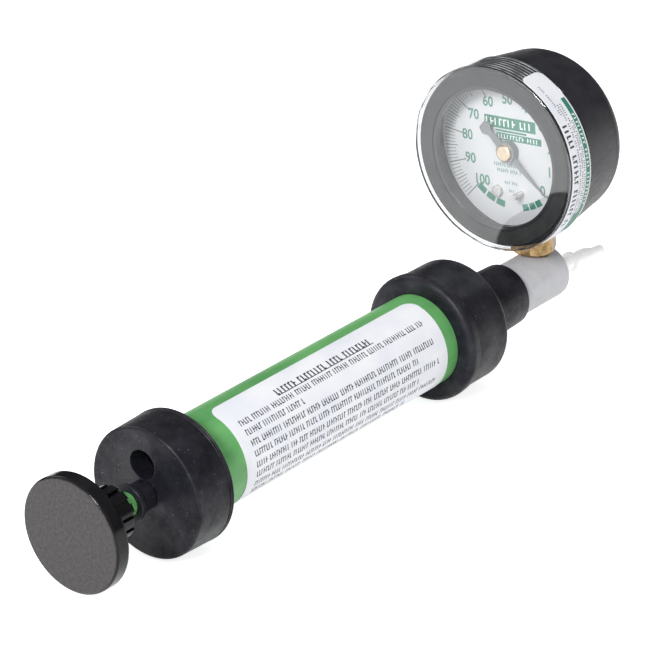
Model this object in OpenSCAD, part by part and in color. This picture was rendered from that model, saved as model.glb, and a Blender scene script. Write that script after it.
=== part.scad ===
// Hand vacuum pump with a dial gauge: a plunger pump in a pipe barrel, whose front boot carries a tee
// with the vacuum gauge on top and a tilting release nozzle at its end.
// Frame: origin at the centre of the knob's push face, +X along the pump axis to the nozzle,
// +Z up to the gauge. The plunger is drawn pushed home and the gauge reads just above zero.

/* [Knob and rod] */
// Radius of the knob's disc
knob_r = 20.1; // [16:0.1:22]
// Thickness of the knob's disc
knob_thick = 6; // [5:0.5:8]
// Radius over the ribs of the knob's hub
hub_r = 9.2; // [8:0.1:10]
// Length of the knob's hub behind the disc
hub_len = 15; // [10:0.5:20]
// Number of ribs around the hub
hub_ribs = 12; // [8:1:14]
// Radius of the plunger rod
rod_r = 4.1; // [3.6:0.1:4.2]
// Length of rod that shows between the hub and the bumper
rod_show = 6; // [3:0.5:10]
// Distance from the bumper's flange to the rear cap with the plunger at rest
rest_gap = 8.4; // [8:0.2:12]

/* [Barrel] */
// Outer diameter of the barrel, one inch nominal pipe
barrel_od = 33.4; // [33:0.1:34]
// Wall of the barrel
barrel_wall = 3.4; // [3:0.1:3.8]
// Length of barrel that shows between the rear cap and the front boot
grip_len = 126.2; // [122:0.1:180]
// Distance from the rear cap to the label
label_gap = 13.9; // [6:0.1:14]
// Length of the label along the barrel
label_len = 106.4; // [60:0.2:108]
// Angle the label covers around the barrel
label_wrap = 174; // [150:1:178]

/* [Rubber ends] */
// Radius of the rear cap at its rim
cap_r = 23.4; // [21:0.1:25]
// Length of the rear cap
cap_len = 16.6; // [14:0.1:22]
// Radius of the vent hole
vent_r = 5.2; // [3:0.1:5.2]
// Height of the vent hole above the axis
vent_up = 10.2; // [10.2:0.1:11]
// Radius of the front boot's rear lip
lip_r = 23.3; // [23:0.1:25]
// Radius of the front boot's body
boot_r = 22.4; // [21:0.1:22.5]
// Length of the boot's wide part
boot_len = 22.7; // [20:0.1:26]
// Radius of the boot's neck at the tee
neck_r = 11.5; // [11.2:0.1:12]
// Length of the boot's neck
neck_len = 26.8; // [26:0.1:40]

/* [Tee and nozzle] */
// Radius of the tee's body
tee_r = 10; // [9.8:0.1:10.8]
// Length of tee that shows past the neck
tee_len = 26.7; // [26:0.1:32]
// How far the tee hangs below the barrel's axis in the soft neck
tee_drop = 0.9; // [0:0.1:1.2]
// Distance from the gauge stem's axis to the tee's end
stem_back = 7; // [5.8:0.1:7.4]
// Length of the nozzle from its pivot to its end
nozzle_len = 36.5; // [35:0.1:42]
// Downward tilt of the nozzle at rest
nozzle_droop = 6; // [0:0.5:8]

/* [Gauge] */
// Height of the gauge's centre above the pump axis
gauge_up = 51.1; // [50:0.1:56]
// Radius of the clear cover
cover_r = 34.3; // [34:0.1:35]
// Radius of the window in the bezel
window_r = 25.35; // [23:0.05:26]
// Distance from the bezel's front to the dial
dial_depth = 9.8; // [9:0.1:12]
// Depth of the black case behind the dial
case_depth = 27.2; // [26:0.1:32]
// Width across flats of the brass stem's hexagon, 9/16 inch
hex_af = 14.3; // [12:0.1:14.5]
// Angle on the dial where the pointer rests, counted anticlockwise from the right
pointer_rest = -42; // [-45:1:-40]

/* [Hidden] */

fine = 96;            // facets drawn on a round shape
small = 32;           // facets drawn on a small round shape
slip = 0.02;          // gap between parts that are pushed together
run = 0.05;           // radial gap of a shaft in its bearing
past = 1;             // how far a cutter runs beyond the part it cuts

// Places along the pump axis
knob_floor = 2.5;
hub_end = knob_thick + hub_len;
bumper_x = hub_end + rod_show;
cap_x = bumper_x + rest_gap;
cap_wall = 8;
tube_x = cap_x + cap_wall;
boot_x = cap_x + cap_len + grip_len;
tube_end = boot_x + 9.6;
shoulder_x = boot_x + boot_len;
neck_end = shoulder_x + neck_len;
tee_end = neck_end + tee_len;
stem_x = tee_end - stem_back;

barrel_r = barrel_od / 2;
bore_r = barrel_r - barrel_wall;
label_skin = 0.15;
label_corner = 4.5;
label_top = 86;

// Piston: the stack sits on a shouldered spigot at the rod's end
piston_x = tube_end - 24;
washer_thick = 1.6;
cup_floor = 2.2;
cup_depth = 7;
cup_wall = 1.3;
rear_washer_r = bore_r - cup_wall - 1.6;
front_washer_r = bore_r - 2.6;
spigot_r = 2.4;
nut_af = 9;
nut_thick = 3.6;
cup_x = piston_x + washer_thick + slip;
front_washer_x = cup_x + cup_floor + slip;
nut_x = front_washer_x + washer_thick + slip;

// Inlet check valve in the end plug: the ball lifts towards the barrel
plug_x = tube_end - 6;
plug_flange = 3;
ball_r = 3.2;
ball_port_r = 2.2;
ball_lift = 1.5;
chamber_r = 4.1;
seat_x = tube_end + 4.3;
ball_x = seat_x - sqrt(pow(ball_r + slip, 2) - pow(ball_port_r, 2));
cage_thick = 2;
nipple_r = 7.4;
nipple_end = shoulder_x + 10;
tail_x = nipple_end + 3;

// Release nozzle: a ball head in a seal cup, held by a ring in the tee's end
pivot_x = tee_end - 3.3;
head_r = 4.4;
cup_skin = 0.9;
pocket_r = head_r + cup_skin + 2 * run;
ring_x = pivot_x + 1;
ring_r = 6;
nozzle_bore_r = 1;
tip_r = 2;

// Gauge
dial_x = stem_x - 10.2;
bezel_x = dial_x - dial_depth;
cover_front = bezel_x - 2.1;
cover_thick = 1.6;
skirt_r = cover_r - 0.8;
dial_thick = 0.6;
dial_r = 30.2;
lip_thick = 1.9;
case_front_r = cover_r - 0.5;
case_back_r = case_front_r - 2.7;
case_round = 7;
case_end = dial_x + case_depth;
case_wall = 2.2;
hex_z = tee_r - tee_drop + 0.1;
hex_top = gauge_up - case_front_r + 0.2;
stem_neck_r = 5.5;
thread_r = 5.15;
thread_pitch = 0.94;
thread_bottom = 6.6;
socket_floor = 6;

// Gear train: a pinion on the pointer's shaft and a sector below it
pinion_teeth = 14;
sector_ratio = 8;
gear_module = 0.26;
backlash = 0.04;
sector_teeth = pinion_teeth * sector_ratio;
pinion_pitch_r = gear_module * pinion_teeth / 2;
sector_pitch_r = gear_module * sector_teeth / 2;
gear_centres = pinion_pitch_r + sector_pitch_r + backlash;
sector_z = gauge_up - gear_centres;
full_scale = 225;
sector_swing = (full_scale - pointer_rest) / sector_ratio;
sector_x = dial_x + 5.2;
sector_thick = 1.2;
hairspring_x = sector_x + sector_thick + 0.8;
hairspring_thick = 0.6;
arbor_r = 0.8;
tail_len = 5.5;
tail_pin_r = 0.5;

// Movement plates, on pillars, screwed to the block on the stem
plate_thick = 1;
front_plate_x = dial_x + 2.8;
back_plate_x = dial_x + 8.8;
plate_half = 9;
plate_top = gauge_up + 5;
plate_bottom = sector_z - 4;
pillar_spots = [for (side = [-7, 7], up = [-13, 3]) [side, gauge_up + up]];
pillar_r = 1.4;
screw_r = 0.7;
mount_spots = [for (side = [-4, 4]) [side, gauge_up - 18.7]];
block_x = back_plate_x + plate_thick;
block_long = 10;
block_half = 8;
block_top = gauge_up - 17;
block_bottom = gauge_up - 27.5;

// Bourdon tube: a C of oval tube around the gauge's centre
bourdon_r = 22;
bourdon_x = block_x + 5.7;
bourdon_half = 4.2;
bourdon_thick = 1.5;
bourdon_wall = 0.35;
bourdon_start = 5;
bourdon_sweep = 300;
bourdon_last = bourdon_start + bourdon_sweep;
end_long = 2.4;

// Link between the sector's tail and the Bourdon tube's end, in the plane seen from the dial
link_x = dial_x + 7.2;
link_thick = 0.5;
link_pin_r = 0.6;
link_swing = tail_len * sin(sector_swing / 2);
link_rise = tail_len * (1 - cos(sector_swing / 2));
tail_pin = [link_swing, -gear_centres - tail_len + link_rise];
end_pin = [-end_long / 2 * cos(bourdon_last) - bourdon_r * sin(bourdon_last),
    end_long / 2 * sin(bourdon_last) - bourdon_r * cos(bourdon_last)];

// Front of the pointer's hub, which the brass cap sits on
pointer_hub_x = dial_x - 3.2;

// Places on the dial, to the right of its centre and above it
screw_spot = [-6.3, -16.1];
peg_spot = [3.9, -15.8];
screw_shank_r = 0.9;
peg_r = 1.1;

// Points of an arc of radius r about [cx, cy] in a profile
function arc(cx, cy, r, from, to, steps = 8) =
    [for (i = [0:steps]) let (a = from + (to - from) * i / steps) [cx + r * cos(a), cy + r * sin(a)]];

// Point at radius r on one flank of a tooth, an involute of the base circle
function flank(base, r, shift, side) =
    let (roll = sqrt(max(0, pow(r / base, 2) - 1)), a = roll * 180 / PI - atan(roll))
    [r * cos(shift - a), side * r * sin(shift - a)];

// Outline of one gear tooth pointing along +X, from its root to its tip
function tooth(teeth) =
    let (
        pitch = teeth * gear_module / 2,
        base = pitch * cos(20),
        tip = pitch + 0.8 * gear_module,
        root = pitch - 1.2 * gear_module,
        low = max(base, root),
        lean = tan(20) * 180 / PI - 20,
        shift = 90 / teeth - backlash / pitch * 90 / PI + lean,
        rising = [for (i = [0:5]) low + (tip - low) * i / 5]
    )
    concat(
        [[root * cos(shift), -root * sin(shift)]],
        [for (r = rising) flank(base, r, shift, -1)],
        [for (i = [5:-1:0]) flank(base, rising[i], shift, 1)],
        [[root * cos(shift), root * sin(shift)]]
    );

// Turns a profile of [radius, x] points about the X axis
module lathe_x(profile) {
    rotate([0, 90, 0]) rotate_extrude($fn = fine) polygon(profile);
}

// A round bar or hole along X
module bar_x(from, to, r) {
    translate([from, 0, 0]) rotate([0, 90, 0]) cylinder(h = to - from, r = r, $fn = r > 2 ? fine : small);
}

// Part of a ring about the X axis. Angles count from -Y up towards +Z
module band_x(from, to, inner, outer, low, high) {
    rotate([90 - high, 0, 0]) rotate([0, 90, 0]) rotate([0, 0, 180])
        rotate_extrude(angle = high - low, $fn = fine)
            translate([inner, from]) square([outer - inner, to - from]);
}

// Moves children from the pump axis to the gauge's centre line
module at_gauge() {
    translate([0, 0, gauge_up]) children();
}

// Stands children on the dial: their +X points to an angle on it, their +Z points out of it, and
// their own height counts back from the origin
module on_dial(angle) {
    rotate([-angle, 0, 0]) rotate([0, -90, 0]) rotate([0, 0, -90]) children();
}

// Extrudes a flat outline, drawn as it is seen from the dial's front, between two places along X
module dial_slab(from, to, angle = 0) {
    on_dial(angle) translate([0, 0, -to]) linear_extrude(to - from) children();
}

// Moves children from the pump axis to the tee's axis
module at_tee() {
    translate([0, 0, -tee_drop]) children();
}

// Turns children with the nozzle at rest
module at_nozzle() {
    at_tee() translate([pivot_x, 0, 0]) rotate([0, nozzle_droop, 0]) children();
}

module knob() {
    edge = 1.1;
    hub_edge = 0.5;
    groove_half = 0.85;
    groove_deep = 1.2;
    first_groove = 53;
    color("dimgray") difference() {
        union() {
            lathe_x(concat([[0, 0]], arc(knob_r - edge, edge, edge, -90, 0),
                arc(knob_r - edge, knob_thick - edge, edge, 0, 90), [[0, knob_thick]]));
            lathe_x(concat([[0, knob_thick - past], [hub_r, knob_thick - past]],
                arc(hub_r - hub_edge, hub_end - hub_edge, hub_edge, 0, 90, 4), [[0, hub_end]]));
        }
        for (i = [0:hub_ribs - 1]) rotate([first_groove + 360 * i / hub_ribs, 0, 0])
            translate([knob_thick, -groove_half, hub_r - groove_deep])
                cube([hub_len + past, 2 * groove_half, 2 * groove_deep]);
        bar_x(knob_floor, hub_end + past, rod_r + slip);
    }
}

module plunger_rod() {
    thread_show = 1;
    end_x = nut_x + nut_thick + thread_show;
    color("mediumseagreen") union() {
        bar_x(knob_floor + slip, piston_x, rod_r);
        bar_x(piston_x - past, end_x, spigot_r);
    }
}

module rod_bumper() {
    flange_r = 6.35;
    flange_thick = 2;
    sleeve_r = 5.1;
    sleeve_end = cap_x - slip;
    round_r = 0.5;
    color("black") lathe_x(concat(
        [[rod_r + slip, bumper_x]],
        arc(flange_r - round_r, bumper_x + round_r, round_r, -90, 0, 4),
        arc(flange_r - round_r, bumper_x + flange_thick - round_r, round_r, 0, 90, 4),
        [[sleeve_r, bumper_x + flange_thick], [sleeve_r, sleeve_end - round_r],
        [sleeve_r - round_r, sleeve_end], [rod_r + slip, sleeve_end]]));
}

module rear_piston_washer() {
    color("silver") difference() {
        bar_x(piston_x + slip, piston_x + washer_thick, rear_washer_r);
        bar_x(piston_x - past, cup_x + past, spigot_r + slip);
    }
}

module cup_seal() {
    lip = bore_r - run;
    taper = 0.2;
    heel = 1.2;
    lip_end = cup_x - cup_depth + 1;
    color("black") lathe_x(concat(
        [[spigot_r + slip, cup_x], [spigot_r + slip, cup_x + cup_floor]],
        arc(lip - heel - taper, cup_x + cup_floor - heel, heel, 90, 0, 6),
        [[lip - taper, cup_x - 3], [lip, lip_end + 1], [lip - 0.5, lip_end],
        [lip - cup_wall, lip_end + 0.4], [lip - cup_wall - taper, cup_x]]));
}

module front_piston_washer() {
    color("silver") difference() {
        bar_x(front_washer_x, front_washer_x + washer_thick, front_washer_r);
        bar_x(front_washer_x - past, nut_x + past, spigot_r + slip);
    }
}

module piston_nut() {
    color("silver") difference() {
        translate([nut_x, 0, 0]) rotate([0, 90, 0]) cylinder(h = nut_thick, r = nut_af / sqrt(3), $fn = 6);
        bar_x(nut_x - past, nut_x + nut_thick + past, spigot_r + slip);
    }
}

module rear_cap() {
    rim = cap_x + cap_len;
    face_r = cap_r - 0.5;
    edge = 1;
    step = 0.35;
    rim_round = 0.7;
    color("black") difference() {
        lathe_x(concat([[0, cap_x]], arc(face_r - edge, cap_x + edge, edge, -90, 0),
            [[cap_r - 0.1, rim - 2.5], [cap_r - step, rim - 2.3], [cap_r - step, rim - 2],
            [cap_r, rim - 1.8], [cap_r, rim - 1.5], [cap_r - step, rim - 1.3], [cap_r - step, rim - 1.1]],
            arc(cap_r - rim_round, rim - rim_round, rim_round, 0, 90, 4), [[0, rim]]));
        bar_x(tube_x, rim + past, barrel_r + slip);
        bar_x(cap_x - past, tube_x + past, rod_r + run);
        translate([0, 0, vent_up]) bar_x(cap_x - past, tube_x + past, vent_r);
    }
}

module barrel_tube() {
    color("mediumseagreen") difference() {
        bar_x(tube_x + slip, tube_end, barrel_r);
        bar_x(tube_x - past, tube_end + past, bore_r);
    }
}

// Outline that rounds off the corner at [x, y] of a sheet lying towards -Y; dir is +1 or -1 along X
module corner_cut(x, y, dir, c) {
    off_tangent = 2;
    translate([x, y]) scale([dir, -1])
        polygon(concat([[-past, c], [-past, -past], [c, -past]],
            arc(c, c, c, 270 - off_tangent, 180 + off_tangent, 6)));
}

// A label bent around the X axis, with its corners rounded off
module wrapped_label(from, to, inner, low, high, corner) {
    skin_r = inner + label_skin;
    difference() {
        band_x(from, to, inner, skin_r, low, high);
        linear_extrude(2 * skin_r) {
            corner_cut(from, -skin_r * cos(high), 1, corner);
            corner_cut(to, -skin_r * cos(high), -1, corner);
        }
        translate([0, 0, -2 * skin_r]) linear_extrude(2 * skin_r) {
            corner_cut(from, -skin_r * cos(low), 1, corner);
            corner_cut(to, -skin_r * cos(low), -1, corner);
        }
    }
}

module barrel_label() {
    from = cap_x + cap_len + label_gap;
    color("white") wrapped_label(from, from + label_len, barrel_r + slip, label_top - label_wrap,
        label_top, label_corner);
}

module front_boot() {
    bevel = 2.3;
    groove = boot_x + 5;
    groove_deep = 0.7;
    groove_half = 0.35;
    corner = 2.4;
    fillet = 2.5;
    neck_base_r = neck_r + 0.9;
    neck_round = 0.6;
    flare = shoulder_x - 0.1;
    seat = tube_end + plug_flange + slip;
    step_x = (nipple_end + tail_x) / 2;
    color("black") difference() {
        union() {
            lathe_x(concat([[0, boot_x]], arc(lip_r - bevel, boot_x + bevel, bevel, -90, 0),
                [[lip_r - 0.2, groove - groove_half], [boot_r - groove_deep, groove - groove_half / 2],
                [boot_r - groove_deep, groove + groove_half / 2], [boot_r + 0.1, groove + groove_half]],
                arc(boot_r - corner, shoulder_x - corner, corner, 0, 90), [[0, shoulder_x]]));
            at_tee() lathe_x(concat([[0, seat + past], [neck_base_r + fillet, seat + past]],
                arc(neck_base_r + fillet, flare + fillet, fillet, 270, 180, 6),
                arc(neck_r - neck_round, neck_end - neck_round, neck_round, 0, 90, 4), [[0, neck_end]]));
        }
        bar_x(boot_x - past, seat, barrel_r + slip);
        bar_x(seat - past, step_x, nipple_r + slip);
        at_tee() bar_x(step_x - past, neck_end + past, nipple_r + slip);
    }
}

module end_plug() {
    plug_r = bore_r - slip;
    color("dimgray") difference() {
        lathe_x([[0, plug_x], [plug_r, plug_x], [plug_r, tube_end + slip], [barrel_r, tube_end + slip],
            [barrel_r, tube_end + plug_flange], [nipple_r, tube_end + plug_flange],
            [nipple_r, nipple_end], [0, nipple_end]]);
        bar_x(plug_x - past, seat_x, chamber_r);
        bar_x(seat_x - past, nipple_end + past, ball_port_r);
    }
}

module valve_ball() {
    color("silver") translate([ball_x, 0, 0]) sphere(r = ball_r, $fn = fine);
}

module valve_cage() {
    face = ball_x - ball_r - ball_lift - run;
    holes = 6;
    hole_r = 0.8;
    hole_ring = 2.4;
    color("gainsboro") difference() {
        bar_x(face - cage_thick, face, chamber_r - slip);
        for (i = [0:holes - 1]) rotate([360 * i / holes, 0, 0]) translate([0, 0, hole_ring])
            bar_x(face - cage_thick - past, face + past, hole_r);
    }
}

module tee_fitting() {
    passage_r = 3.2;
    passage_end = pivot_x - 4;
    drill_r = 1.2;
    drill_x = stem_x - 3.4;
    lead_in = 1;
    shoulder = 0.5;
    edge = 0.9;
    color("whitesmoke") difference() {
        at_tee() lathe_x(concat(
            [[0, tail_x], [nipple_r - lead_in, tail_x], [nipple_r, tail_x + 1.5 * lead_in],
            [nipple_r, neck_end + slip]],
            arc(tee_r - shoulder, neck_end + shoulder + slip, shoulder, -90, 0, 4),
            arc(tee_r - edge, tee_end - edge, edge, 0, 90, 6), [[0, tee_end]]));
        at_tee() bar_x(tail_x - past, passage_end, passage_r);
        at_tee() translate([pivot_x, 0, 0]) sphere(r = pocket_r, $fn = fine);
        at_tee() bar_x(ring_x, tee_end + past, ring_r);
        translate([stem_x, 0, socket_floor]) cylinder(h = tee_r, r = thread_r + slip, $fn = fine);
        translate([drill_x, 0, 0]) cylinder(h = socket_floor + past, r = drill_r, $fn = small);
    }
}

module nozzle_retainer() {
    mouth_r = 3.9;
    color("gainsboro") at_tee() difference() {
        bar_x(ring_x + slip, tee_end - 0.2, ring_r - slip);
        translate([pivot_x, 0, 0]) sphere(r = head_r + run, $fn = fine);
        bar_x(ring_x - past, tee_end + past, mouth_r);
    }
}

module nozzle_seal_cup() {
    hole_r = 2.2;
    mouth = -0.7;
    color("dimgray") at_nozzle() difference() {
        sphere(r = head_r + run + cup_skin, $fn = fine);
        sphere(r = head_r + run, $fn = fine);
        translate([mouth, -2 * head_r, -2 * head_r]) cube(4 * head_r);
        bar_x(-2 * head_r, 0, hole_r);
    }
}

module nozzle() {
    shank_r = 2.6;
    flange_r = 3.75;
    barb_r = 3;
    step_r = 2.4;
    edge = 0.3;
    flange_at = nozzle_len - 20;
    barb_at = nozzle_len - 13.5;
    step_at = nozzle_len - 9;
    tip_at = nozzle_len - 6.5;
    color("white") at_nozzle() difference() {
        union() {
            sphere(r = head_r, $fn = fine);
            lathe_x(concat([[0, 0], [shank_r, 0], [shank_r, flange_at - edge], [flange_r, flange_at],
                [flange_r, flange_at + 1], [shank_r, flange_at + 1 + edge], [shank_r - 0.1, barb_at],
                [barb_r, barb_at + edge], [barb_r - 0.1, step_at - edge], [step_r, step_at],
                [step_r, tip_at - edge], [tip_r, tip_at]],
                arc(tip_r - edge, nozzle_len - edge, edge, 0, 90, 4), [[0, nozzle_len]]));
        }
        bar_x(-head_r - past, nozzle_len + past, nozzle_bore_r);
    }
}

// Brass stem: pipe thread, hexagon, neck through the case and the block that carries the movement
module gauge_stem() {
    hex_r = hex_af / sqrt(3);
    chamfer_r = hex_af / 2 - 0.2;
    chamfer = 1.1;
    hex_turn = 24;
    bore = 1.2;
    cross_z = block_bottom + 1.5;
    neck_top = block_bottom + 3.4;
    turns = floor((hex_z - thread_bottom) / thread_pitch);
    color("goldenrod") difference() {
        union() {
            translate([stem_x, 0, 0]) rotate_extrude($fn = fine) polygon(concat([[0, thread_bottom]],
                [for (i = [0:turns - 1], p = [[-0.4, 0.1], [0, 0.4], [0, 0.55], [-0.4, 0.85]])
                    [thread_r + p[0], thread_bottom + (i + p[1]) * thread_pitch]],
                [[thread_r - 0.4, hex_z + past], [0, hex_z + past]]));
            intersection() {
                translate([stem_x, 0, hex_z]) rotate([0, 0, hex_turn])
                    cylinder(h = hex_top - hex_z, r = hex_r, $fn = 6);
                translate([stem_x, 0, 0]) rotate_extrude($fn = fine)
                    polygon([[0, hex_z], [chamfer_r, hex_z], [hex_r, hex_z + chamfer],
                        [hex_r, hex_top - chamfer], [chamfer_r, hex_top], [0, hex_top]]);
            }
            translate([stem_x, 0, hex_top - past])
                cylinder(h = neck_top - hex_top + past, r = stem_neck_r, $fn = fine);
            translate([block_x + slip, -block_half, block_bottom])
                cube([block_long, 2 * block_half, block_top - block_bottom]);
        }
        translate([stem_x, 0, 0]) cylinder(h = cross_z, r = bore, $fn = small);
        translate([0, 0, cross_z]) bar_x(stem_x - bore, bourdon_x, bore);
        translate([bourdon_x, 0, cross_z])
            cylinder(h = gauge_up - bourdon_r - cross_z, r = bore, $fn = small);
        at_gauge() bourdon_sweep_shape(bourdon_half + slip, bourdon_thick + slip, -4);
        for (spot = mount_spots) translate([0, spot[0], spot[1]])
            bar_x(block_x - past, block_x + 3.2, screw_r + slip);
    }
}

module gauge_case() {
    mouth = dial_x + dial_thick + slip;
    inner_front = case_front_r - case_wall;
    inner_back = case_back_r - case_wall;
    lip = 0.4;
    color("#202024") difference() {
        at_gauge() lathe_x(concat(
            [[inner_front, mouth], [case_front_r - lip, mouth], [case_front_r, mouth + lip]],
            arc(case_back_r - case_round, case_end - case_round, case_round, 0, 90, 10),
            [[0, case_end], [0, case_end - case_wall]],
            arc(inner_back - case_round + case_wall, case_end - case_round, case_round - case_wall, 90, 0)));
        translate([stem_x, 0, 0]) cylinder(h = gauge_up, r = stem_neck_r + slip, $fn = fine);
    }
}

module threaded_bezel() {
    ridges = 5;
    crest = skirt_r - slip;
    depth = 0.7;
    pitch = (dial_depth - lip_thick - 0.8) / ridges;
    back = dial_x + dial_thick;
    color("#2a2a2e") at_gauge() lathe_x(concat(
        [[window_r, bezel_x], [crest - depth - 0.2, bezel_x], [crest - depth, bezel_x + lip_thick]],
        [for (i = [0:ridges - 1], p = [[-depth, 0.15], [0, 0.4], [0, 0.65], [-depth, 0.9]])
            [crest + p[0], bezel_x + lip_thick + (i + p[1]) * pitch]],
        [[crest - depth, back], [dial_r + slip, back], [dial_r + slip, dial_x - slip],
        [dial_r - 0.4, dial_x - slip], [dial_r - 0.4, bezel_x + lip_thick],
        [window_r, bezel_x + lip_thick]]));
}

module clear_cover() {
    edge = 0.9;
    back = dial_x + dial_thick;
    color("lightblue", 0.3) at_gauge() lathe_x(concat([[0, cover_front]],
        arc(cover_r - edge, cover_front + edge, edge, -90, 0, 6),
        [[cover_r, back], [skirt_r, back], [skirt_r, cover_front + cover_thick],
        [0, cover_front + cover_thick]]));
}

module cover_gasket() {
    inner = window_r + 1.5;
    outer = skirt_r - 1.4;
    from = cover_front + cover_thick + slip;
    to = bezel_x - slip;
    color("#101010") at_gauge() lathe_x([[inner, from], [outer, from], [outer, to], [inner, to]]);
}

module gauge_label() {
    front_gap = 1;
    back_gap = 0.2;
    low = -58;
    high = 66;
    corner = 2.4;
    color("white") at_gauge()
        wrapped_label(cover_front + front_gap, dial_x - back_gap, cover_r + slip, low, high, corner);
}

module dial_plate() {
    shaft_hole = 1.6;
    back = dial_x + dial_thick;
    color("white") at_gauge() dial_slab(dial_x, back) difference() {
        circle(r = dial_r, $fn = fine);
        circle(r = shaft_hole, $fn = small);
        translate(screw_spot) circle(r = screw_shank_r + slip, $fn = small);
        translate(peg_spot) circle(r = peg_r + slip, $fn = small);
    }
}

module dial_screw() {
    head_r = 2.05;
    head_thick = 1.6;
    shank_end = dial_x + dial_thick + 0.8;
    color("silver") at_gauge() {
        dial_slab(dial_x - head_thick, dial_x - slip) translate(screw_spot) circle(r = head_r, $fn = small);
        dial_slab(dial_x - 0.5, shank_end) translate(screw_spot) circle(r = screw_shank_r, $fn = small);
    }
}

module stop_peg() {
    peg_front = dial_x - 5;
    back = dial_x + dial_thick;
    color("silver") at_gauge() dial_slab(peg_front, back) translate(peg_spot) circle(r = peg_r, $fn = small);
}

module pointer() {
    tip_at = 21.5;
    front = dial_x - 2.5;
    back = dial_x - 2;
    hub_r = 3.9;
    hub_back = dial_x - 0.3;
    one_side = [[-13.6, 1.8], [-11.2, 2.7], [-9, 1.1], [-3.5, 1.7], [3.5, 1.2]];
    color("#505458") at_gauge() {
        difference() {
            union() {
                dial_slab(front, back, pointer_rest) polygon(concat(one_side, [[tip_at, 0]],
                    [for (i = [len(one_side) - 1:-1:0]) [one_side[i][0], -one_side[i][1]]]));
                bar_x(pointer_hub_x, hub_back, hub_r);
            }
            bar_x(pointer_hub_x - past, hub_back + past, arbor_r + slip);
        }
    }
}

module pointer_cap() {
    back = pointer_hub_x - slip;
    cap_r = 3;
    cap_thick = 1.1;
    round_r = 0.5;
    socket = 0.7;
    color("gold") at_gauge() difference() {
        lathe_x(concat([[0, back], [cap_r, back]],
            arc(cap_r - round_r, back - cap_thick + round_r, round_r, 0, -90, 5), [[0, back - cap_thick]]));
        bar_x(back - socket, back + past, arbor_r + slip);
    }
}

// Flat outline of a gear's teeth, numbered from one tooth to another, on the hub circle
module gear_outline(teeth, from_tooth, to_tooth) {
    for (i = [from_tooth:to_tooth]) rotate(360 * i / teeth) polygon(tooth(teeth));
}

module pinion_shaft() {
    collet_r = 1.48;
    root = pinion_pitch_r - 1.2 * gear_module;
    color("gold") at_gauge() {
        bar_x(pointer_hub_x - 0.5, block_x - 0.2, arbor_r);
        bar_x(hairspring_x, hairspring_x + hairspring_thick, collet_r);
        dial_slab(sector_x - 0.2, sector_x + sector_thick + 0.2) {
            rotate(180 / pinion_teeth - 90) gear_outline(pinion_teeth, 0, pinion_teeth - 1);
            circle(r = root + slip, $fn = fine);
        }
    }
}

module sector_gear() {
    rest_turn = sector_swing / 2;
    step = 360 / sector_teeth;
    on_line = round(rest_turn / step) * step;
    half = ceil(sector_swing / step / 2) + 2;
    root = sector_pitch_r - 1.2 * gear_module;
    spread = step * (half + 0.5);
    rim_points = [for (i = [-8:8]) spread * i / 8];
    arm = 1.6;
    color("gold") translate([0, 0, sector_z]) {
        dial_slab(sector_x, sector_x + sector_thick, 90) {
            rotate(on_line) gear_outline(sector_teeth, -half, half);
            rotate(on_line) polygon(concat([for (a = rim_points) (root + slip) * [cos(a), sin(a)]],
                [for (i = [16:-1:0]) (root - 2) * [cos(rim_points[i]), sin(rim_points[i])]]));
            rotate(rest_turn) polygon([[-tail_len, -1.1], [-tail_len, 1.1], [0, 2], [root - 1, arm],
                [root - 1, -arm], [0, -2]]);
            rotate(rest_turn) translate([-tail_len, 0]) circle(r = 1.1, $fn = small);
        }
        bar_x(front_plate_x + 0.2, block_x - 0.2, arbor_r);
        dial_slab(sector_x, link_x + link_thick + 0.3, 90) rotate(rest_turn) translate([-tail_len, 0])
            circle(r = tail_pin_r, $fn = small);
    }
}

// One plate of the movement, with its bearing, pillar and fixing holes
module movement_plate(at, fixings) {
    color("gold") difference() {
        translate([at, -plate_half, plate_bottom])
            cube([plate_thick, 2 * plate_half, plate_top - plate_bottom]);
        for (z = [gauge_up, sector_z]) translate([0, 0, z])
            bar_x(at - past, at + plate_thick + past, arbor_r + run);
        for (spot = pillar_spots) translate([0, spot[0], spot[1]])
            bar_x(at - past, at + plate_thick + past, screw_r + slip);
        for (spot = fixings) translate([0, spot[0], spot[1]])
            bar_x(at - past, at + plate_thick + past, screw_r + slip);
    }
}

module front_movement_plate() {
    movement_plate(front_plate_x, []);
}

module back_movement_plate() {
    movement_plate(back_plate_x, mount_spots);
}

module movement_pillars() {
    color("goldenrod") for (spot = pillar_spots) translate([0, spot[0], spot[1]]) difference() {
        bar_x(front_plate_x + plate_thick + slip, back_plate_x - slip, pillar_r);
        bar_x(front_plate_x, back_plate_x + past, screw_r + slip);
    }
}

// A screw along X with a flat head in front of the plate at x = at
module plate_screw(at, long) {
    head_r = 1.4;
    head_thick = 0.7;
    bar_x(at - head_thick, at - slip, head_r);
    bar_x(at - head_thick / 2, at + long, screw_r);
}

module movement_screws() {
    color("silver") for (spot = pillar_spots) translate([0, spot[0], spot[1]])
        plate_screw(front_plate_x, back_plate_x + plate_thick - front_plate_x);
}

module mounting_screws() {
    color("silver") for (spot = mount_spots) translate([0, spot[0], spot[1]])
        plate_screw(back_plate_x, plate_thick + 3);
}

module hairspring() {
    turns = 4;
    first = 1.5;
    grow = 0.75;
    strip = 0.12;
    steps = 20 * turns;
    function spiral(i, out) =
        let (a = 360 * turns * i / steps) (first + out + grow * a / 360) * [cos(a), sin(a)];
    color("silver") at_gauge() dial_slab(hairspring_x, hairspring_x + hairspring_thick)
        polygon(concat([for (i = [0:steps]) spiral(i, 0)], [for (i = [steps:-1:0]) spiral(i, strip)]));
}

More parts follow.
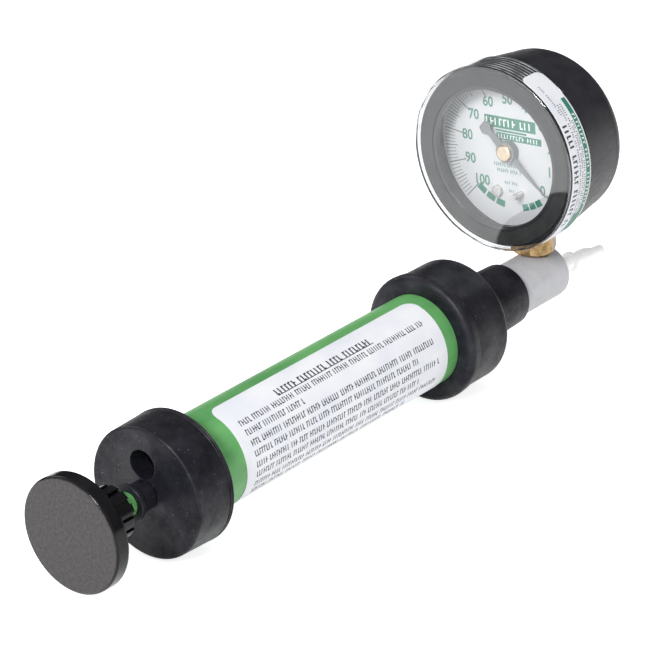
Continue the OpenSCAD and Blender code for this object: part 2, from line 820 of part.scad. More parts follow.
// The oval section of the Bourdon tube swept around the gauge's centre, from just beside the stem
module bourdon_sweep_shape(half, thick, early = 0) {
    rotate([0, 90, 0]) rotate(bourdon_start + early) rotate_extrude(angle = bourdon_sweep - early, $fn = fine)
        translate([bourdon_r, bourdon_x]) polygon([for (i = [0:23]) let (c = cos(15 * i), s = sin(15 * i))
            [thick * sign(c) * pow(abs(c), 0.8), half * sign(s) * pow(abs(s), 0.6)]]);
}

module bourdon_tube() {
    color("peru") at_gauge() difference() {
        bourdon_sweep_shape(bourdon_half, bourdon_thick);
        bourdon_sweep_shape(bourdon_half - bourdon_wall, bourdon_thick - bourdon_wall);
    }
}

// Brass cap on the Bourdon tube's free end, with an arm that reaches forward to the link
module bourdon_end() {
    tall = 4;
    rim = 0.4;
    arm_front = link_x + link_thick + 0.7;
    color("goldenrod") at_gauge() rotate([bourdon_last, 0, 0]) translate([0, slip, -bourdon_r]) {
        translate([bourdon_x - bourdon_half - rim, 0, -tall / 2])
            cube([2 * (bourdon_half + rim), end_long, tall]);
        translate([arm_front, 0, -end_long / 2]) cube([bourdon_x - arm_front, end_long, end_long]);
        translate([0, end_long / 2, 0]) bar_x(link_x - 0.5, arm_front + past, link_pin_r);
    }
}

// Flat link. Its slot lets the Bourdon tube's end stand still while the sector turns
module link() {
    slot_r = link_pin_r + link_rise / 2 + 0.1;
    slot_mid = [end_pin[0] + link_swing, end_pin[1] + link_rise / 2];
    reach = slot_mid - tail_pin;
    web = 0.9;
    color("gold") at_gauge() dial_slab(link_x, link_x + link_thick) difference() {
        union() {
            translate(tail_pin) circle(r = 1.3, $fn = small);
            translate(tail_pin) rotate(atan2(reach[1], reach[0])) translate([0, -web])
                square([norm(reach), 2 * web]);
            for (side = [-1, 1]) translate(slot_mid + [side * link_swing, 0])
                circle(r = slot_r + web, $fn = small);
            translate(slot_mid - [link_swing, slot_r + web]) square([2 * link_swing, 2 * (slot_r + web)]);
        }
        translate(tail_pin) circle(r = tail_pin_r + run, $fn = small);
        for (side = [-1, 1]) translate(slot_mid + [side * link_swing, 0])
            circle(r = slot_r, $fn = small);
        translate(slot_mid - [link_swing, slot_r]) square([2 * link_swing, 2 * slot_r]);
    }
}

knob();
plunger_rod();
rod_bumper();
rear_piston_washer();
cup_seal();
front_piston_washer();
piston_nut();
rear_cap();
barrel_tube();
barrel_label();
front_boot();
end_plug();
valve_ball();
valve_cage();
tee_fitting();
nozzle_retainer();
nozzle_seal_cup();
nozzle();
gauge_stem();
gauge_case();
threaded_bezel();
clear_cover();
cover_gasket();
gauge_label();
dial_plate();
dial_screw();
stop_peg();
pointer();
pointer_cap();
pinion_shaft();
sector_gear();
front_movement_plate();
back_movement_plate();
movement_pillars();
movement_screws();
mounting_screws();
hairspring();
bourdon_tube();
bourdon_end();
link();
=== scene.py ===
"""Looks of the hand vacuum pump: materials, printed marks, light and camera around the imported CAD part."""

import math
import random

import bmesh
import bpy
from mathutils import Matrix, Vector


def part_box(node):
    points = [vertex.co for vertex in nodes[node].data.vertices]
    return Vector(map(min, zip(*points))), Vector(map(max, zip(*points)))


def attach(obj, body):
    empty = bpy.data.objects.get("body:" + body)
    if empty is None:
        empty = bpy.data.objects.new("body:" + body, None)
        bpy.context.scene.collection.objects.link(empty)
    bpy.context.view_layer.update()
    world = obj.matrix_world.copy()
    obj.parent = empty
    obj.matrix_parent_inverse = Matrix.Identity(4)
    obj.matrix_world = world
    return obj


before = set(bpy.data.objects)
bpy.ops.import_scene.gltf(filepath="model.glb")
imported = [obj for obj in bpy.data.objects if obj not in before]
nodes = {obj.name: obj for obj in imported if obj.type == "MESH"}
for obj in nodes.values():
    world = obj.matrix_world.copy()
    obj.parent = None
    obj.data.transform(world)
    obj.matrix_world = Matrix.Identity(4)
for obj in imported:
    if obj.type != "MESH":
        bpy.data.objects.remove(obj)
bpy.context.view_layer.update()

# ---------------------------------------------------------------- places, read from the CAD nodes

MM = 0.001

LABEL_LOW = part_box("barrel_label")[0]
LABEL_R = -LABEL_LOW.y
LABEL_X0 = LABEL_LOW.x

DIAL_LOW, DIAL_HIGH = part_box("dial_plate")
DIAL_X = DIAL_LOW.x
GAUGE_Z = (DIAL_LOW.z + DIAL_HIGH.z) / 2

SKIRT_LOW, SKIRT_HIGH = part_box("gauge_label")
SKIRT_R = -SKIRT_LOW.y

COVER_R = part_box("clear_cover")[1].y
FLOOR_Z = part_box("rear_cap")[0].z
PUMP_MIDDLE = (0.1, 0, 0.02)

PRINT = 0.03 * MM          # how far printed ink stands off what it is printed on
SKIRT_TOP = 66             # angle of the gauge label's upper end, from -Y up towards +Z
SCALE_ZERO = -45           # angle of the dial's zero mark, anticlockwise from the right
SCALE_STEP = 2.7           # angle of one unit on the dial


# ---------------------------------------------------------------- small helpers for shader nodes

class Shader:
    """A material's node tree, with one short call per kind of node."""

    def __init__(self, name):
        self.material = bpy.data.materials.new(name)
        self.material.use_nodes = True
        self.tree = self.material.node_tree
        self.bsdf = self.tree.nodes["Principled BSDF"]
        self.out = self.tree.nodes["Material Output"]
        self.place = self.add("ShaderNodeTexCoord").outputs["Object"]

    def add(self, kind, **settings):
        node = self.tree.nodes.new(kind)
        for key, value in settings.items():
            setattr(node, key, value)
        return node

    def link(self, source, target):
        """Links an output to an input, or writes a plain value into the input."""
        if isinstance(source, bpy.types.NodeSocket):
            self.tree.links.new(source, target)
        else:
            target.default_value = source

    def noise(self, size, detail=3.0, roughness=0.5, stretch=(1, 1, 1)):
        """Noise whose features are about size metres across, drawn out by stretch along X, Y and Z."""
        scale = self.add("ShaderNodeMapping")
        scale.inputs["Scale"].default_value = [1 / (size * s) for s in stretch]
        self.link(self.place, scale.inputs["Vector"])
        node = self.add("ShaderNodeTexNoise")
        node.inputs["Scale"].default_value = 1.0
        node.inputs["Detail"].default_value = detail
        node.inputs["Roughness"].default_value = roughness
        self.link(scale.outputs["Vector"], node.inputs["Vector"])
        return node.outputs["Fac"]

    def span(self, value, low, high, to_low=0.0, to_high=1.0):
        """Maps value from low..high to to_low..to_high, clamped."""
        node = self.add("ShaderNodeMapRange")
        for key, number in zip(("From Min", "From Max", "To Min", "To Max"), (low, high, to_low, to_high)):
            self.link(number, node.inputs[key])
        self.link(value, node.inputs["Value"])
        return node.outputs["Result"]

    def mix(self, factor, first, second):
        """Mixes two colours."""
        node = self.add("ShaderNodeMix", data_type="RGBA")
        self.link(factor, node.inputs["Factor"])
        self.link(first, node.inputs["A"])
        self.link(second, node.inputs["B"])
        return node.outputs["Result"]

    def maths(self, operation, first, second):
        node = self.add("ShaderNodeMath", operation=operation)
        self.link(first, node.inputs[0])
        self.link(second, node.inputs[1])
        return node.outputs[0]

    def axis(self, letter):
        """One coordinate of the shaded point in the row frame, at rest."""
        node = self.add("ShaderNodeSeparateXYZ")
        self.link(self.place, node.inputs[0])
        return node.outputs[letter]

    def gauge_radius(self):
        """Distance of the shaded point from the gauge's centre line."""
        across = self.axis("Y")
        up = self.maths("SUBTRACT", self.axis("Z"), GAUGE_Z)
        squares = self.maths("ADD", self.maths("MULTIPLY", across, across), self.maths("MULTIPLY", up, up))
        return self.maths("SQRT", squares, 0.0)

    def relief(self, height, depth, rounding=0.0):
        """Bumps the surface by height (0..1) times depth metres, on edges softened by rounding metres."""
        bump = self.add("ShaderNodeBump")
        bump.inputs["Strength"].default_value = 1.0
        bump.inputs["Distance"].default_value = depth
        self.link(height, bump.inputs["Height"])
        if rounding:
            bevel = self.add("ShaderNodeBevel", samples=4)
            bevel.inputs["Radius"].default_value = rounding
            self.link(bevel.outputs["Normal"], bump.inputs["Normal"])
        self.link(bump.outputs["Normal"], self.bsdf.inputs["Normal"])

    def set(self, **values):
        """Sets inputs of the Principled shader, with _ for a space in their names."""
        for key, value in values.items():
            self.link(value, self.bsdf.inputs[key.replace("_", " ")])


def rgba(red, green, blue):
    return (red, green, blue, 1.0)


# ---------------------------------------------------------------- materials

def polished_plastic():
    """The knob: gloss black, with a satin, finely mottled push face."""
    s = Shader("polished_plastic")
    face_edge = (0.05 * MM, 0.3 * MM)
    on_face = s.span(s.axis("X"), *face_edge, 1.0, 0.0)
    mottle = s.span(s.noise(1.1 * MM, 5, 0.65), 0.38, 0.66)
    wear = s.span(s.noise(6 * MM, 4, 0.6), 0.4, 0.7)
    face = s.mix(mottle, rgba(0.018, 0.015, 0.016), rgba(0.05, 0.043, 0.045))
    side = s.mix(wear, rgba(0.002, 0.002, 0.003), rgba(0.007, 0.007, 0.008))
    rough_side = s.span(wear, 0, 1, 0.08, 0.16)
    rough_face = s.span(mottle, 0, 1, 0.28, 0.42)
    mix = s.add("ShaderNodeMix", data_type="FLOAT")
    s.link(on_face, mix.inputs["Factor"])
    s.link(rough_side, mix.inputs["A"])
    s.link(rough_face, mix.inputs["B"])
    s.set(
        Base_Color=s.mix(on_face, side, face),
        Roughness=mix.outputs["Result"],
        Specular_IOR_Level=s.span(on_face, 0, 1, 0.22, 0.4),
    )
    s.relief(s.noise(0.5 * MM, 4), 0.02 * MM, 0.25 * MM)
    return s.material


def moulded(name, colour, shade, roughness, spread=0.1, grain=0.4 * MM, depth=0.015 * MM, sheen=0.5):
    """Moulded plastic: cloudy colour between colour and shade, fine grain, uneven gloss."""
    s = Shader(name)
    cloud = s.span(s.noise(7 * MM, 4, 0.6), 0.35, 0.68)
    scuff = s.noise(1.6 * MM, 5, 0.7, (4, 1, 1))
    s.set(
        Base_Color=s.mix(cloud, rgba(*colour), rgba(*shade)),
        Roughness=s.span(scuff, 0.3, 0.7, roughness - spread, roughness + spread),
        Specular_IOR_Level=sheen,
    )
    s.relief(s.noise(grain, 3), depth, 0.2 * MM)
    return s.material


def rubber(name, colour, shade, dust=0.5):
    """Moulded rubber: soft sheen, fine pores, and a few pale specks of dust."""
    s = Shader(name)
    cloud = s.span(s.noise(9 * MM, 5, 0.6), 0.36, 0.66)
    specks = s.span(s.noise(0.55 * MM, 2, 0.4), 0.735, 0.76)
    haze = s.mix(cloud, rgba(*colour), rgba(*shade))
    s.set(
        Base_Color=s.mix(s.maths("MULTIPLY", specks, dust), haze, rgba(0.34, 0.34, 0.35)),
        Roughness=s.span(s.noise(2.5 * MM, 5, 0.7), 0.3, 0.7, 0.32, 0.5),
        Specular_IOR_Level=s.span(s.noise(11 * MM, 4, 0.6), 0.36, 0.64, 0.1, 0.36),
    )
    s.relief(s.noise(0.45 * MM, 4, 0.6), 0.035 * MM, 0.4 * MM)
    return s.material


def green_plastic():
    """The barrel and rod: satin green with faint draw lines along the tube."""
    s = Shader("green_plastic")
    cloud = s.span(s.noise(12 * MM, 4, 0.55, (3, 1, 1)), 0.35, 0.65)
    lines = s.noise(0.5 * MM, 3, 0.5, (60, 1, 1))
    s.set(
        Base_Color=s.mix(cloud, rgba(0.09, 0.3, 0.095), rgba(0.145, 0.42, 0.14)),
        Roughness=s.span(lines, 0.3, 0.7, 0.32, 0.44),
        Specular_IOR_Level=0.35,
    )
    s.relief(lines, 0.012 * MM, 0.2 * MM)
    return s.material


def printed_film():
    """The labels: white vinyl with a faint cool tint, a light weave of gloss and faint wrinkles."""
    s = Shader("printed_film")
    tint = s.span(s.noise(14 * MM, 3, 0.5), 0.35, 0.65)
    wrinkle = s.noise(3.5 * MM, 4, 0.55, (1.5, 1, 1))
    s.set(
        Base_Color=s.mix(tint, rgba(0.77, 0.78, 0.84), rgba(0.84, 0.84, 0.87)),
        Roughness=s.span(s.noise(1.2 * MM, 4), 0.3, 0.7, 0.28, 0.4),
    )
    s.relief(wrinkle, 0.03 * MM)
    return s.material


def nylon(name, colour, shade, roughness, soft, painted_glow=0.0):
    """Frosted nylon that lets a little light in. The glow argument is painted light: an even emission that
    brightens a piece lying in shade, as if light came through a thin piece.
    """
    s = Shader(name)
    cloud = s.span(s.noise(5 * MM, 4, 0.6), 0.35, 0.68)
    frosting = s.noise(1 * MM, 4, 0.65)
    s.set(
        Base_Color=s.mix(cloud, rgba(*colour), rgba(*shade)),
        Roughness=s.span(frosting, 0.3, 0.7, roughness - 0.08, roughness + 0.08),
        Subsurface_Weight=soft,
        Subsurface_Radius=(1.0, 0.9, 0.8),
        Subsurface_Scale=1.5 * MM,
        # painted light: an even white emission, as strong as the glow argument
        Emission_Color=rgba(1, 1, 1),
        Emission_Strength=painted_glow,
    )
    s.relief(s.noise(0.6 * MM, 3, 0.6), 0.03 * MM, 0.25 * MM)
    return s.material


def metal(name, colour, shade, roughness, stretch):
    """Machined metal: tarnish between two colours, fine tool marks drawn out by stretch."""
    s = Shader(name)
    tarnish = s.span(s.noise(3.5 * MM, 5, 0.7), 0.4, 0.62)
    marks = s.noise(0.12 * MM, 3, 0.6, stretch)
    s.set(
        Base_Color=s.mix(tarnish, rgba(*colour), rgba(*shade)),
        Metallic=1.0,
        Roughness=s.span(marks, 0.3, 0.7, roughness - 0.07, roughness + 0.1),
    )
    s.relief(marks, 0.01 * MM, 0.12 * MM)
    return s.material


def clear_plastic():
    """The gauge's clear cover: moulded polycarbonate that bends what lies behind it, faintly smeared, with a
    painted pale reflection along the thread inside its skirt. Light on its way to a lamp passes straight on."""
    s = Shader("clear_plastic")
    thread_pitch = 1.7 * MM
    glass = s.add("ShaderNodeBsdfGlass")
    glass.inputs["IOR"].default_value = 1.58
    glass.inputs["Color"].default_value = rgba(0.985, 0.99, 0.995)
    s.link(s.span(s.noise(9 * MM, 5, 0.6), 0.4, 0.7, 0.0, 0.03), glass.inputs["Roughness"])
    straight = s.add("ShaderNodeBsdfTransparent")
    path = s.add("ShaderNodeLightPath")
    unbent = s.maths("MAXIMUM", path.outputs["Is Shadow Ray"], path.outputs["Is Diffuse Ray"])
    body = s.add("ShaderNodeMixShader")
    s.link(unbent, body.inputs["Fac"])
    s.link(glass.outputs["BSDF"], body.inputs[1])
    s.link(straight.outputs["BSDF"], body.inputs[2])

    radius = s.gauge_radius()
    # painted reflection: a pale diffuse white mixed in, in patches, on the thread's crests inside the skirt
    thread_turns = s.maths("MULTIPLY", s.axis("X"), 2 * math.pi / thread_pitch)
    crest = s.span(s.maths("SINE", thread_turns, 0.0), 0.55, 0.95)
    on_skirt_face = s.span(radius, COVER_R - 0.15 * MM, COVER_R - 0.1 * MM)
    patchy = s.span(s.noise(7 * MM, 2, 0.5), 0.4, 0.62, 0.25, 0.8)
    painted_thread_light = s.maths("MULTIPLY", s.maths("MULTIPLY", crest, on_skirt_face), patchy)
    painted_reflection = s.add("ShaderNodeBsdfDiffuse")
    painted_reflection.inputs["Color"].default_value = rgba(0.8, 0.82, 0.85)
    mix = s.add("ShaderNodeMixShader")
    s.link(painted_thread_light, mix.inputs["Fac"])
    s.link(body.outputs["Shader"], mix.inputs[1])
    s.link(painted_reflection.outputs["BSDF"], mix.inputs[2])
    s.link(mix.outputs["Shader"], s.out.inputs["Surface"])
    s.tree.nodes.remove(s.bsdf)
    return s.material


def ink(name, colour, fade):
    """Printing ink, worn a little where the film has rubbed."""
    s = Shader(name)
    rub = s.span(s.noise(0.5 * MM, 4, 0.7), 0.55, 0.8, 0.0, fade)
    s.set(
        Base_Color=s.mix(rub, rgba(*colour), rgba(0.7, 0.72, 0.72)),
        Roughness=s.span(s.noise(0.8 * MM, 3), 0.3, 0.7, 0.35, 0.5),
    )
    return s.material


def enamel(name, colour, shade, roughness):
    """Sprayed paint with a faint orange peel."""
    s = Shader(name)
    s.set(
        Base_Color=s.mix(s.span(s.noise(8 * MM, 3), 0.35, 0.65), rgba(*colour), rgba(*shade)),
        Roughness=s.span(s.noise(1.5 * MM, 4), 0.3, 0.7, roughness - 0.06, roughness + 0.06),
    )
    s.relief(s.noise(0.9 * MM, 2), 0.012 * MM)
    return s.material


knob_finish = polished_plastic()
green = green_plastic()
black_rubber = rubber("black_rubber", (0.005, 0.005, 0.008), (0.014, 0.014, 0.02))
seal_rubber = rubber("seal_rubber", (0.02, 0.02, 0.02), (0.03, 0.03, 0.03), dust=0.2)
film = printed_film()
white_nylon = nylon("white_nylon", (0.6, 0.6, 0.62), (0.53, 0.53, 0.55), roughness=0.4, soft=0.2)
# the nozzle gets painted light: an emission that brightens it where it lies in shade
pale_nylon = nylon("pale_nylon", (0.98, 0.98, 0.97), (0.95, 0.95, 0.94), roughness=0.3, soft=0.45, painted_glow=0.2)
grey_plastic = moulded("grey_plastic", (0.05, 0.05, 0.052), (0.07, 0.07, 0.072), roughness=0.45)
case_plastic = moulded("case_plastic", (0.018, 0.018, 0.022), (0.032, 0.032, 0.038), roughness=0.38,
                       spread=0.08, grain=0.6 * MM, depth=0.03 * MM, sheen=0.28)
bezel_plastic = moulded("bezel_plastic", (0.02, 0.02, 0.022), (0.03, 0.03, 0.032), roughness=0.14,
                        spread=0.05)
brass = metal("brass", (0.4, 0.27, 0.13), (0.2, 0.13, 0.06), roughness=0.26, stretch=(1, 1, 12))
bright_brass = metal("bright_brass", (0.74, 0.6, 0.45), (0.64, 0.49, 0.33), roughness=0.34, stretch=(1, 6, 6))
bronze = metal("bronze", (0.6, 0.34, 0.18), (0.45, 0.24, 0.13), roughness=0.3, stretch=(8, 1, 1))
steel = metal("steel", (0.62, 0.61, 0.59), (0.48, 0.47, 0.46), roughness=0.3, stretch=(1, 10, 10))
clear = clear_plastic()
dial_white = enamel("dial_white", (0.63, 0.635, 0.65), (0.6, 0.61, 0.625), roughness=0.38)
pointer_grey = enamel("pointer_grey", (0.19, 0.195, 0.205), (0.24, 0.245, 0.255), roughness=0.4)
black_ink = ink("black_ink", (0.035, 0.035, 0.045), fade=0.35)
green_ink = ink("green_ink", (0.03, 0.2, 0.13), fade=0.3)
tick_ink = ink("tick_ink", (0.12, 0.16, 0.15), fade=0.25)
white_ink = ink("white_ink", (0.82, 0.84, 0.83), fade=0.2)

FINISHES = {
    "knob": knob_finish,
    "plunger_rod": green,
    "barrel_tube": green,
    "rod_bumper": black_rubber,
    "rear_cap": black_rubber,
    "front_boot": black_rubber,
    "cup_seal": seal_rubber,
    "cover_gasket": seal_rubber,
    "nozzle_seal_cup": seal_rubber,
    "rear_piston_washer": steel,
    "front_piston_washer": steel,
    "piston_nut": steel,
    "valve_ball": steel,
    "dial_screw": steel,
    "stop_peg": steel,
    "movement_screws": steel,
    "mounting_screws": steel,
    "barrel_label": film,
    "gauge_label": film,
    "end_plug": grey_plastic,
    "valve_cage": white_nylon,
    "tee_fitting": white_nylon,
    "nozzle_retainer": white_nylon,
    "nozzle": pale_nylon,
    "gauge_stem": brass,
    "gauge_case": case_plastic,
    "threaded_bezel": bezel_plastic,
    "clear_cover": clear,
    "dial_plate": dial_white,
    "pointer": pointer_grey,
    "pointer_cap": bright_brass,
    "pinion_shaft": brass,
    "sector_gear": brass,
    "front_movement_plate": brass,
    "back_movement_plate": brass,
    "movement_pillars": brass,
    "bourdon_end": brass,
    "link": brass,
    "hairspring": bronze,
    "bourdon_tube": bronze,
}

for node_name, node_object in nodes.items():
    node_object.data.materials.clear()
    node_object.data.materials.append(FINISHES[node_name])


# ---------------------------------------------------------------- printed marks

def on_barrel(x, angle, height):
    """A point on the barrel's label: x from the label's end, angle from -Y up towards +Z in degrees."""
    turn = math.radians(angle)
    radius = LABEL_R + height
    return Vector((LABEL_X0 + x, -radius * math.cos(turn), radius * math.sin(turn)))


def on_skirt(x, angle, height):
    """A point on the gauge's label: x from its front edge, angle as on the barrel."""
    turn = math.radians(angle)
    radius = SKIRT_R + height
    return Vector((SKIRT_LOW.x + x, -radius * math.cos(turn), GAUGE_Z + radius * math.sin(turn)))


def on_dial(right, up, height):
    """A point on the dial, to the right of its centre and above it as it is read."""
    return Vector((DIAL_X - height, -right, GAUGE_Z + up))


def round_dial(radius, angle, height):
    """A point on the dial by its radius, and its angle anticlockwise from the right."""
    turn = math.radians(angle)
    return on_dial(radius * math.cos(turn), radius * math.sin(turn), height)


def skirt_row(along, across, height):
    """A point on the gauge's label, along it from its upper end and across it from its front edge."""
    return on_skirt(across, SKIRT_TOP - math.degrees(along / SKIRT_R), height)


def patch(bm, place, across, along, steps=(1, 1), low=-PRINT, high=PRINT):
    """A thin closed slab of ink between two values of each of place's first two coordinates."""
    rows, columns = steps
    layers = []
    for height in (low, high):
        grid = []
        for i in range(rows + 1):
            a = across[0] + (across[1] - across[0]) * i / rows
            line = [along[0] + (along[1] - along[0]) * j / columns for j in range(columns + 1)]
            grid.append([bm.verts.new(place(a, b, height)) for b in line])
        layers.append(grid)
    bottom, top = layers
    for i in range(rows):
        for j in range(columns):
            bm.faces.new((top[i][j], top[i + 1][j], top[i + 1][j + 1], top[i][j + 1]))
            bm.faces.new((bottom[i][j], bottom[i][j + 1], bottom[i + 1][j + 1], bottom[i + 1][j]))
    edge = [(i, 0) for i in range(rows)] + [(rows, j) for j in range(columns)]
    edge += [(i, columns) for i in range(rows, 0, -1)] + [(0, j) for j in range(columns, 0, -1)]
    for (i, j), (k, m) in zip(edge, edge[1:] + edge[:1]):
        bm.faces.new((bottom[i][j], bottom[k][m], top[k][m], top[i][j]))


def piece(name, bm, material, body="pump"):
    """Turns a bmesh into a named piece of the object, on a body."""
    bmesh.ops.recalc_face_normals(bm, faces=bm.faces)
    mesh = bpy.data.meshes.new(name)
    bm.to_mesh(mesh)
    bm.free()
    mesh.materials.append(material)
    obj = bpy.data.objects.new(name, mesh)
    bpy.context.scene.collection.objects.link(obj)
    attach(obj, body)
    return obj


def word_line(bm, place, start, end, middle, tall, rng, words, letter, stroke, high=PRINT, bends=1):
    """A line of print stood for by runs of upright strokes, some joined at the top or the foot.

    start, end, letter and stroke are in mm, middle and tall in the units of place's second coordinate,
    words gives the fewest and most strokes in a run, and bends the straight parts of a tall stroke that
    follows a curved label."""
    half = tall / 2
    thick = tall * 0.2
    at = start
    while at < end - letter:
        count = min(rng.randint(*words), int((end - at) / letter))
        for _ in range(count):
            upright = (middle - half, middle + half)
            patch(bm, place, (at * MM, (at + stroke) * MM), upright, (1, bends), high=high)
            joint = rng.choice((half - thick, -half, -thick / 2, None))
            if joint is not None:
                side = ((at + stroke) * MM, (at + letter * 0.72) * MM)
                patch(bm, place, side, (middle + joint, middle + joint + thick), high=high)
            at += letter
        at += letter * 0.8


def label_print():
    """Heading, underline and four pairs of lines on the barrel's label. Heights are angles in degrees."""
    rng = random.Random(7)
    degrees_per_mm = math.degrees(1 / LABEL_R) * MM
    heading_left, heading_right = 26.5, 76.5
    heading_at = 61.5
    underline = (56.2, 57.2)
    left = 4.8
    first_line = 49.5
    pair_pitch = 25.2
    line_pitch = 12.3
    ends = [(102.4, 35.3), (102.6, 92.0), (102.2, 91.0), (102.4, 86.0)]

    heading = bmesh.new()
    word_line(heading, on_barrel, heading_left, heading_right, heading_at, 2.6 * degrees_per_mm, rng,
              words=(4, 9), letter=1.75, stroke=0.62, bends=3)
    patch(heading, on_barrel, (heading_left * MM, heading_right * MM), underline)
    piece("label_heading", heading, black_ink)
    body = bmesh.new()
    for pair, pair_ends in enumerate(ends):
        for line, end in enumerate(pair_ends):
            middle = first_line - pair * pair_pitch - line * line_pitch
            word_line(body, on_barrel, left, end, middle, 2.1 * degrees_per_mm, rng,
                      words=(3, 10), letter=1.12, stroke=0.36, bends=2)
    piece("label_lines", body, black_ink)


def dial_scale():
    """A tick for each unit from 0 to 100 over 270 degrees, longer at the fives and tens."""
    bm = bmesh.new()
    outer = 28.9
    for unit in range(101):
        turn = math.radians(SCALE_ZERO + SCALE_STEP * unit)
        if unit % 10 == 0:
            inner, wide = 21.0, 0.45
        elif unit % 5 == 0:
            inner, wide = 23.6, 0.34
        else:
            inner, wide = 24.6, 0.26

        def place(along, side, height, turn=turn):
            right = along * math.cos(turn) - side * math.sin(turn)
            up = along * math.sin(turn) + side * math.cos(turn)
            return on_dial(right, up, height)

        patch(bm, place, (inner * MM, outer * MM), (-wide / 2 * MM, wide / 2 * MM))
    piece("dial_scale", bm, tick_ink)


def number_mesh(number, size):
    """A flat mesh of a number, centred on its own origin."""
    curve = bpy.data.curves.new("number", "FONT")
    curve.body = str(number)
    curve.size = size
    curve.align_x = "CENTER"
    curve.align_y = "CENTER"
    curve.offset = 0.1 * MM
    curve.extrude = PRINT
    curve.resolution_u = 4
    text = bpy.data.objects.new("number", curve)
    bpy.context.scene.collection.objects.link(text)
    bpy.context.view_layer.update()
    mesh = bpy.data.meshes.new_from_object(text.evaluated_get(bpy.context.evaluated_depsgraph_get()))
    bpy.data.objects.remove(text)
    bpy.data.curves.remove(curve)
    return mesh


def dial_numbers():
    """The numbers 0 to 100 by tens, upright inside the scale."""
    bm = bmesh.new()
    size = 5.4 * MM
    ring = 18.9 * MM
    upright = Matrix(((0, 0, -1), (-1, 0, 0), (0, 1, 0))).to_4x4()
    narrow = Matrix.Diagonal((0.86, 1, 1, 1))
    for number in range(0, 101, 10):
        mesh = number_mesh(number, size)
        centre = round_dial(ring, SCALE_ZERO + SCALE_STEP * number, 0)
        mesh.transform(Matrix.Translation(centre) @ upright @ narrow)
        bm.from_mesh(mesh)
        bpy.data.meshes.remove(mesh)
    bmesh.ops.remove_doubles(bm, verts=bm.verts, dist=1e-7)
    piece("dial_numbers", bm, green_ink)


def dial_bands():
    """Green bands overprinted with white strokes, and blocks along the scale's ends, for the dial's words."""
    rng = random.Random(3)
    worded = ((-10.6, 11.7, 7.7, 12.1, 1.9), (-5.6, 14.0, 3.5, 6.1, 1.3))    # left, right, foot, top, letter
    rule = ((-6.0 * MM, 7.6 * MM), (6.5 * MM, 7.2 * MM))
    block_ring = (20.2 * MM, 22.7 * MM)
    blocks = ((-134, -124), (-122, -112), (-110, -100), (-79, -72), (-70.5, -63.5), (-62, -55))
    small = ((-7.4, 2.8, -6.0, 1.4), (-6.2, 5.0, -8.2, 1.4),                 # left, right, up, tall
             (-3.2, 3.2, -12.6, 1.1), (-1.6, 1.4, -15.6, 1.0))

    bands = bmesh.new()
    strokes = bmesh.new()
    for left, right, foot, top, letter in worded:
        patch(bands, on_dial, (left * MM, right * MM), (foot * MM, top * MM))
        middle = (foot + top) / 2 * MM
        tall = (top - foot) * 0.62 * MM
        word_line(strokes, on_dial, left + 0.7, right - 0.5, middle, tall, rng,
                  words=(6, 9), letter=letter, stroke=letter * 0.28, high=2 * PRINT)
    patch(bands, on_dial, *rule)
    for block in blocks:
        patch(bands, round_dial, block_ring, block, (1, 6))
    piece("dial_bands", bands, green_ink)
    piece("dial_band_strokes", strokes, white_ink)
    lines = bmesh.new()
    for left, right, up, tall in small:
        word_line(lines, on_dial, left, right, up * MM, tall * MM, rng, words=(3, 6), letter=0.85, stroke=0.3)
    piece("dial_small_lines", lines, green_ink)


def skirt_print():
    """Marks along the gauge's label: bold strokes in front, fine ones in the middle, a green band behind."""
    rng = random.Random(11)
    wide = SKIRT_HIGH.x - SKIRT_LOW.x
    fine_rows = ((6, 20, 0.3), (15, 62, 0.42), (15, 62, 0.55), (22, 60, 0.66))    # start, end, part of width
    band = (0.74 * wide, 0.94 * wide)
    low_block = (0.5 * wide, 0.94 * wide)

    bold = bmesh.new()
    word_line(bold, skirt_row, 22.5, 64, 0.19 * wide, 0.22 * wide, rng, words=(4, 6), letter=1.9, stroke=0.7)
    piece("skirt_bold_strokes", bold, black_ink)
    fine = bmesh.new()
    for start, end, across in fine_rows:
        word_line(fine, skirt_row, start, end, across * wide, 0.07 * wide, rng,
                  words=(3, 8), letter=0.85, stroke=0.3)
    piece("skirt_fine_strokes", fine, tick_ink)
    green_marks = bmesh.new()
    patch(green_marks, skirt_row, (13.5 * MM, 18.5 * MM), band, (4, 1))
    patch(green_marks, skirt_row, (58 * MM, 68 * MM), low_block, (8, 1))
    patch(green_marks, skirt_row, (18.5 * MM, 58 * MM), band, (32, 1))
    piece("skirt_green_marks", green_marks, green_ink)
    pale = bmesh.new()
    word_line(pale, skirt_row, 20, 57, 0.84 * wide, 0.11 * wide, rng,
              words=(5, 9), letter=1.5, stroke=0.5, high=2 * PRINT)
    piece("skirt_pale_strokes", pale, white_ink)


label_print()
dial_scale()
dial_numbers()
dial_bands()
skirt_print()


# ---------------------------------------------------------------- floor, light and camera

def floor():
    """A pale floor that the two rubber ends rest on."""
    s = Shader("floor")
    path = s.add("ShaderNodeLightPath")
    seen = s.span(path.outputs["Is Camera Ray"], 0, 1, 0.12, 0.8)
    mirrored = s.span(path.outputs["Is Glossy Ray"], 0, 1, 0.0, 0.45)
    s.set(
        Base_Color=s.mix(s.noise(0.4, 2), rgba(0.9, 0.9, 0.9), rgba(0.93, 0.93, 0.93)),
        Roughness=0.8,
        Specular_IOR_Level=0.1,
        Emission_Color=rgba(1, 1, 1),
        Emission_Strength=s.maths("ADD", seen, mirrored),
    )
    half = 6.0
    mesh = bpy.data.meshes.new("floor")
    corners = [(-half, -half), (half, -half), (half, half), (-half, half)]
    mesh.from_pydata([(x, y, FLOOR_Z) for x, y in corners], [], [(0, 1, 2, 3)])
    mesh.materials.append(s.material)
    obj = bpy.data.objects.new("floor", mesh)
    bpy.context.scene.collection.objects.link(obj)


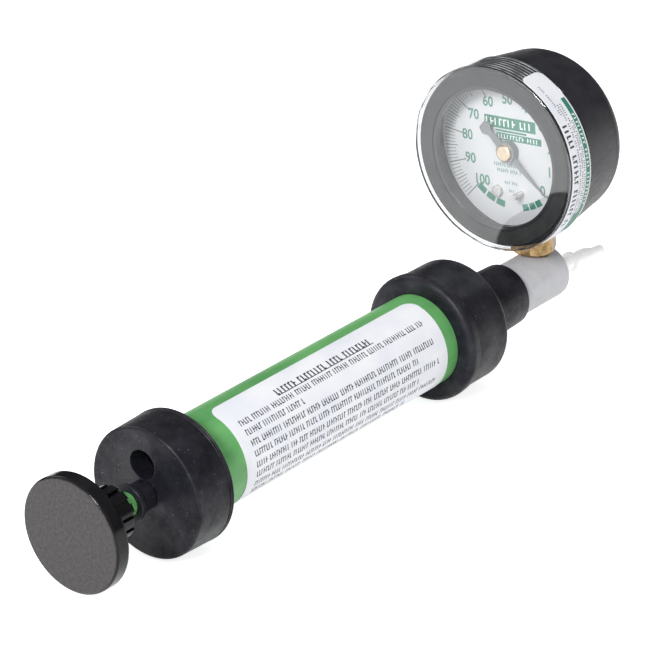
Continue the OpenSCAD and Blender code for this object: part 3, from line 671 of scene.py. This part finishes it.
def soft_light(name, place, aim, size, power):
    """A square soft box at place that faces aim."""
    data = bpy.data.lights.new(name, "AREA")
    data.size = size
    data.energy = power
    obj = bpy.data.objects.new(name, data)
    obj.location = place
    obj.rotation_euler = (Vector(aim) - Vector(place)).to_track_quat("-Z", "Y").to_euler()
    bpy.context.scene.collection.objects.link(obj)


def world_light(towards, dim, bright):
    """Soft light from all round, bright from one direction and dim from the one opposite.
    Seen straight by the camera it is an even white."""
    world = bpy.data.worlds.new("studio")
    world.use_nodes = True
    tree = world.node_tree
    background = tree.nodes["Background"]
    background.inputs["Color"].default_value = rgba(0.98, 0.99, 1.0)
    place = tree.nodes.new("ShaderNodeTexCoord")
    facing = tree.nodes.new("ShaderNodeVectorMath")
    facing.operation = "DOT_PRODUCT"
    facing.inputs[1].default_value = Vector(towards).normalized()
    fade = tree.nodes.new("ShaderNodeMapRange")
    fade.interpolation_type = "SMOOTHSTEP"
    fade.inputs["From Min"].default_value = -0.5
    fade.inputs["From Max"].default_value = 0.9
    fade.inputs["To Min"].default_value = dim
    fade.inputs["To Max"].default_value = bright
    path = tree.nodes.new("ShaderNodeLightPath")
    pale = tree.nodes.new("ShaderNodeMix")
    pale.inputs["B"].default_value = 1.0
    tree.links.new(place.outputs["Generated"], facing.inputs[0])
    tree.links.new(facing.outputs["Value"], fade.inputs["Value"])
    tree.links.new(path.outputs["Is Camera Ray"], pale.inputs["Factor"])
    tree.links.new(fade.outputs["Result"], pale.inputs["A"])
    tree.links.new(pale.outputs["Result"], background.inputs["Strength"])
    bpy.context.scene.world = world


def camera(azimuth, elevation, roll, aim, distance, view_angle):
    """A camera looking at aim from azimuth and elevation, rolled about its own axis. Angles in degrees."""
    az, el, ro = (math.radians(v) for v in (azimuth, elevation, roll))
    back = Vector((math.sin(az) * math.cos(el), -math.cos(az) * math.cos(el), math.sin(el)))
    level = Vector((math.cos(az), math.sin(az), 0))
    rise = back.cross(level)
    right = level * math.cos(ro) + rise * math.sin(ro)
    up = back.cross(right)
    turn = Matrix((right, up, back)).transposed().to_4x4()
    data = bpy.data.cameras.new("camera")
    data.sensor_fit = "HORIZONTAL"
    data.angle = math.radians(view_angle)
    data.clip_start = 0.01
    obj = bpy.data.objects.new("camera", data)
    obj.matrix_world = Matrix.Translation(Vector(aim) + back * distance) @ turn
    bpy.context.scene.collection.objects.link(obj)
    bpy.context.scene.camera = obj


floor()
world_light(towards=(-0.65, -0.3, 0.75), dim=0.06, bright=0.74)
soft_light("key", place=(-1.1, -0.3, 0.9), aim=PUMP_MIDDLE, size=0.4, power=21)
soft_light("rim", place=(0.3, 1.2, 0.8), aim=PUMP_MIDDLE, size=0.8, power=3)
camera(azimuth=-48.84, elevation=22.32, roll=-4.9, aim=(0.1287, 0.0007, 0.0246), distance=1.14,
       view_angle=10.835)
bpy.context.scene.view_settings.view_transform = "Standard"
